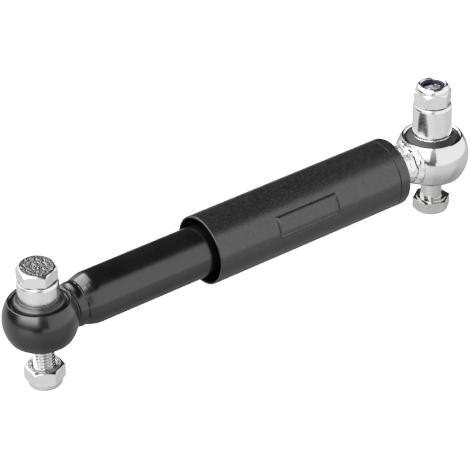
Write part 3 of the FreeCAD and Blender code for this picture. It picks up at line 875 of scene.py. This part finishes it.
def wmath(op, a, b=0.0):
    n = wn.new("ShaderNodeMath")
    n.operation = op
    for s, val in zip(n.inputs, (a, b)):
        if isinstance(val, bpy.types.NodeSocket):
            wl.new(val, s)
        else:
            s.default_value = val
    return n.outputs[0]


def wdot(vec):
    n = wn.new("ShaderNodeVectorMath")
    n.operation = "DOT_PRODUCT"
    wl.new(tc.outputs["Generated"], n.inputs[0])
    n.inputs[1].default_value = vec
    return n.outputs["Value"]


def wstep(val, lo, hi):
    n = wn.new("ShaderNodeMapRange")
    n.interpolation_type = "SMOOTHSTEP"
    wl.new(val, n.inputs["Value"])
    n.inputs["From Min"].default_value = lo
    n.inputs["From Max"].default_value = hi
    return n.outputs["Result"]


front = wdot((math.sin(CAM_AZ), -math.cos(CAM_AZ), 0.0))
side = wdot((math.cos(CAM_AZ), math.sin(CAM_AZ), 0.0))
turn = wmath("ARCTAN2", side, front)              # 0 = towards the camera, + to its right
lift = wmath("ARCSINE", wdot((0.0, 0.0, 1.0)))
rad = math.radians


def window(val, a, b, c, d):
    """Rises from a to b and falls from c to d, in degrees."""
    return wmath("MULTIPLY", wstep(val, rad(a), rad(b)), wmath("SUBTRACT", 1.0, wstep(val, rad(c), rad(d))))


# a large soft panel at the left that goes on round the back-left, a weaker one at the right, and the pale table
left = wmath("MULTIPLY", wmath("MULTIPLY", window(turn, -76, -58, -6, 3), window(lift, -4, 31, 82, 88)), 10.0)
behind = wmath("MULTIPLY", wmath("MULTIPLY", window(turn, -168, -156, -68, -56), window(lift, 18, 30, 78, 88)), 8.0)
low = wmath("MULTIPLY", wmath("MULTIPLY", window(turn, -166, -152, -124, -106), window(lift, -15, 4, 20, 34)), 1.5)
right_ = wmath("MULTIPLY", wmath("MULTIPLY", window(turn, 4, 12, 128, 146), window(lift, -19, -10, 42, 57)), 2.3)
table = wmath("ADD", 0.52, wmath("MULTIPLY", wstep(lift, rad(-60), rad(-20)), 0.42))
table = wmath("MULTIPLY", table, wmath("ADD", 1.0, wmath("MULTIPLY", window(turn, -150, -110, -20, 25), 0.35)))
# nearer and brighter in front of the part, and reaching higher at the front left
table = wmath("ADD", table, wmath("MULTIPLY", window(turn, -80, -45, 65, 85), wmath("ADD", 0.12, wmath("MULTIPLY", wstep(lift, rad(-70), rad(-45)), 0.14))))
table = wmath("ADD", table, wmath("MULTIPLY", wmath("MULTIPLY", window(turn, -70, -45, -24, -13), wstep(lift, rad(-28), rad(-14))), 1.0))
far = wmath("MAXIMUM", wstep(turn, rad(126), rad(160)), wstep(wmath("MULTIPLY", turn, -1.0), rad(140), rad(168)))
table = wmath("MULTIPLY", table, wmath("SUBTRACT", 1.0, wmath("MULTIPLY", far, 0.45)))
rise = wmath("MULTIPLY", wmath("SUBTRACT", 1.0, wstep(turn, rad(-27), rad(-9))), rad(7))
table = wmath("MULTIPLY", table, wmath("SUBTRACT", 1.0, wstep(wmath("SUBTRACT", lift, rise), rad(-16.5), rad(-9))))
dim = wmath("ADD", 0.05, wmath("MULTIPLY", window(turn, -60, -40, 20, 40), 0.15))
total = wmath("MAXIMUM", wmath("MAXIMUM", left, behind), wmath("MAXIMUM", wmath("MAXIMUM", right_, low), wmath("MAXIMUM", table, dim)))
# the backdrop itself is plain white
path = wn.new("ShaderNodeLightPath")
seen = path.outputs["Is Camera Ray"]
total = wmath("ADD", wmath("MULTIPLY", total, wmath("SUBTRACT", 1.0, seen)), wmath("MULTIPLY", seen, 2.05))
wl.new(total, bg.inputs["Strength"])
bg.inputs["Color"].default_value = (1, 1, 1, 1)


def studio_card(name, centre, facing, half_w, half_h, low, high):
    """A flat sheet of backdrop near the part, seen only in reflections. low and high = its brightness at its lower and upper edge."""
    c, n = np.array(centre, float), np.array(facing, float)
    n /= np.linalg.norm(n)
    u = np.cross((0.0, 0.0, 1.0), n)
    u /= np.linalg.norm(u)
    w = np.cross(n, u)
    grid = [[c + u * half_w * a + w * half_h * b for a in np.linspace(-1, 1, 9)] for b in np.linspace(-1, 1, 9)]
    me = bpy.data.meshes.new(name)
    me.from_pydata([((q + (0.0, 0.0, SEAT)) / 1000.0).tolist() for row in grid for q in row], [],
                   [[i * 9 + j, i * 9 + j + 1, i * 9 + j + 10, i * 9 + j + 9] for i in range(8) for j in range(8)])
    ob = bpy.data.objects.new(name, me)
    bpy.context.collection.objects.link(ob)
    m = Nodes(name)
    split = m.new("ShaderNodeSeparateXYZ")
    m.link(m.coord, split.inputs[0])
    z0, z1 = (grid[0][0][2] + SEAT) / 1000.0, (grid[-1][0][2] + SEAT) / 1000.0
    m.link(m.spread(split.outputs["Z"], z0, z1, low, high), m.bsdf.inputs["Emission Strength"])
    m.finish(m.mix(m.noise(4, 2), (0.010, 0.010, 0.010), (0.012, 0.012, 0.012)), None, None, **{"Roughness": 0.9, "Emission Color": (1, 1, 1, 1)})
    me.materials.append(m.mat)
    ob.visible_camera = ob.visible_shadow = False


# the gap between the two front panels is a dim strip about 0.9 m away
studio_card("studio_gap", (-282.6, -750.5, 340.0), (412.6, 750.5, 0.0), 182.0, 380.0, 0.18, 0.85)
# ---------------------------------------------------------------------- camera
ca, sa, ce, se = math.cos(CAM_AZ), math.sin(CAM_AZ), math.cos(CAM_EL), math.sin(CAM_EL)
back = np.array((sa * ce, -ca * ce, se))
right = np.array((ca, sa, 0.0))
up = np.cross(back, right)
cr, sr = math.cos(CAM_ROLL), math.sin(CAM_ROLL)
right, up = cr * right + sr * up, -sr * right + cr * up
place = np.array((130.0, 0.0, SEAT)) - 4.151 * right - 1.364 * up + 1337.874 * back
cam = bpy.data.cameras.new("camera")
cam.sensor_width = 36.0
cam.sensor_fit = "HORIZONTAL"
cam.lens = 2483.801 / 470.0 * 36.0
cam.clip_end = 50.0
cam_ob = bpy.data.objects.new("camera", cam)
bpy.context.collection.objects.link(cam_ob)
m4 = Matrix.Identity(4)
for i in range(3):
    m4[i][0], m4[i][1], m4[i][2], m4[i][3] = right[i], up[i], back[i], place[i] / 1000.0
cam_ob.matrix_world = m4
scene.camera = cam_ob
scene.view_settings.view_transform = "Standard"
# soft shoulder, as a camera gives: bright reflections roll off instead of clipping
scene.view_settings.use_curve_mapping = True
curve = scene.view_settings.curve_mapping
curve.use_clip = True
curve.clip_min_x, curve.clip_min_y, curve.clip_max_x, curve.clip_max_y = 0.0, 0.0, 10.0, 1.0
tone = curve.curves[3]
tone.points[0].location = (0.0, 0.0)
tone.points[-1].location = (10.0, 1.0)
for q in ((0.55, 0.55), (0.8, 0.685), (1.2, 0.80), (1.6, 0.90), (2.0, 1.0)):
    tone.points.new(*q)
for q in tone.points:
    q.handle_type = "VECTOR"
curve.update()
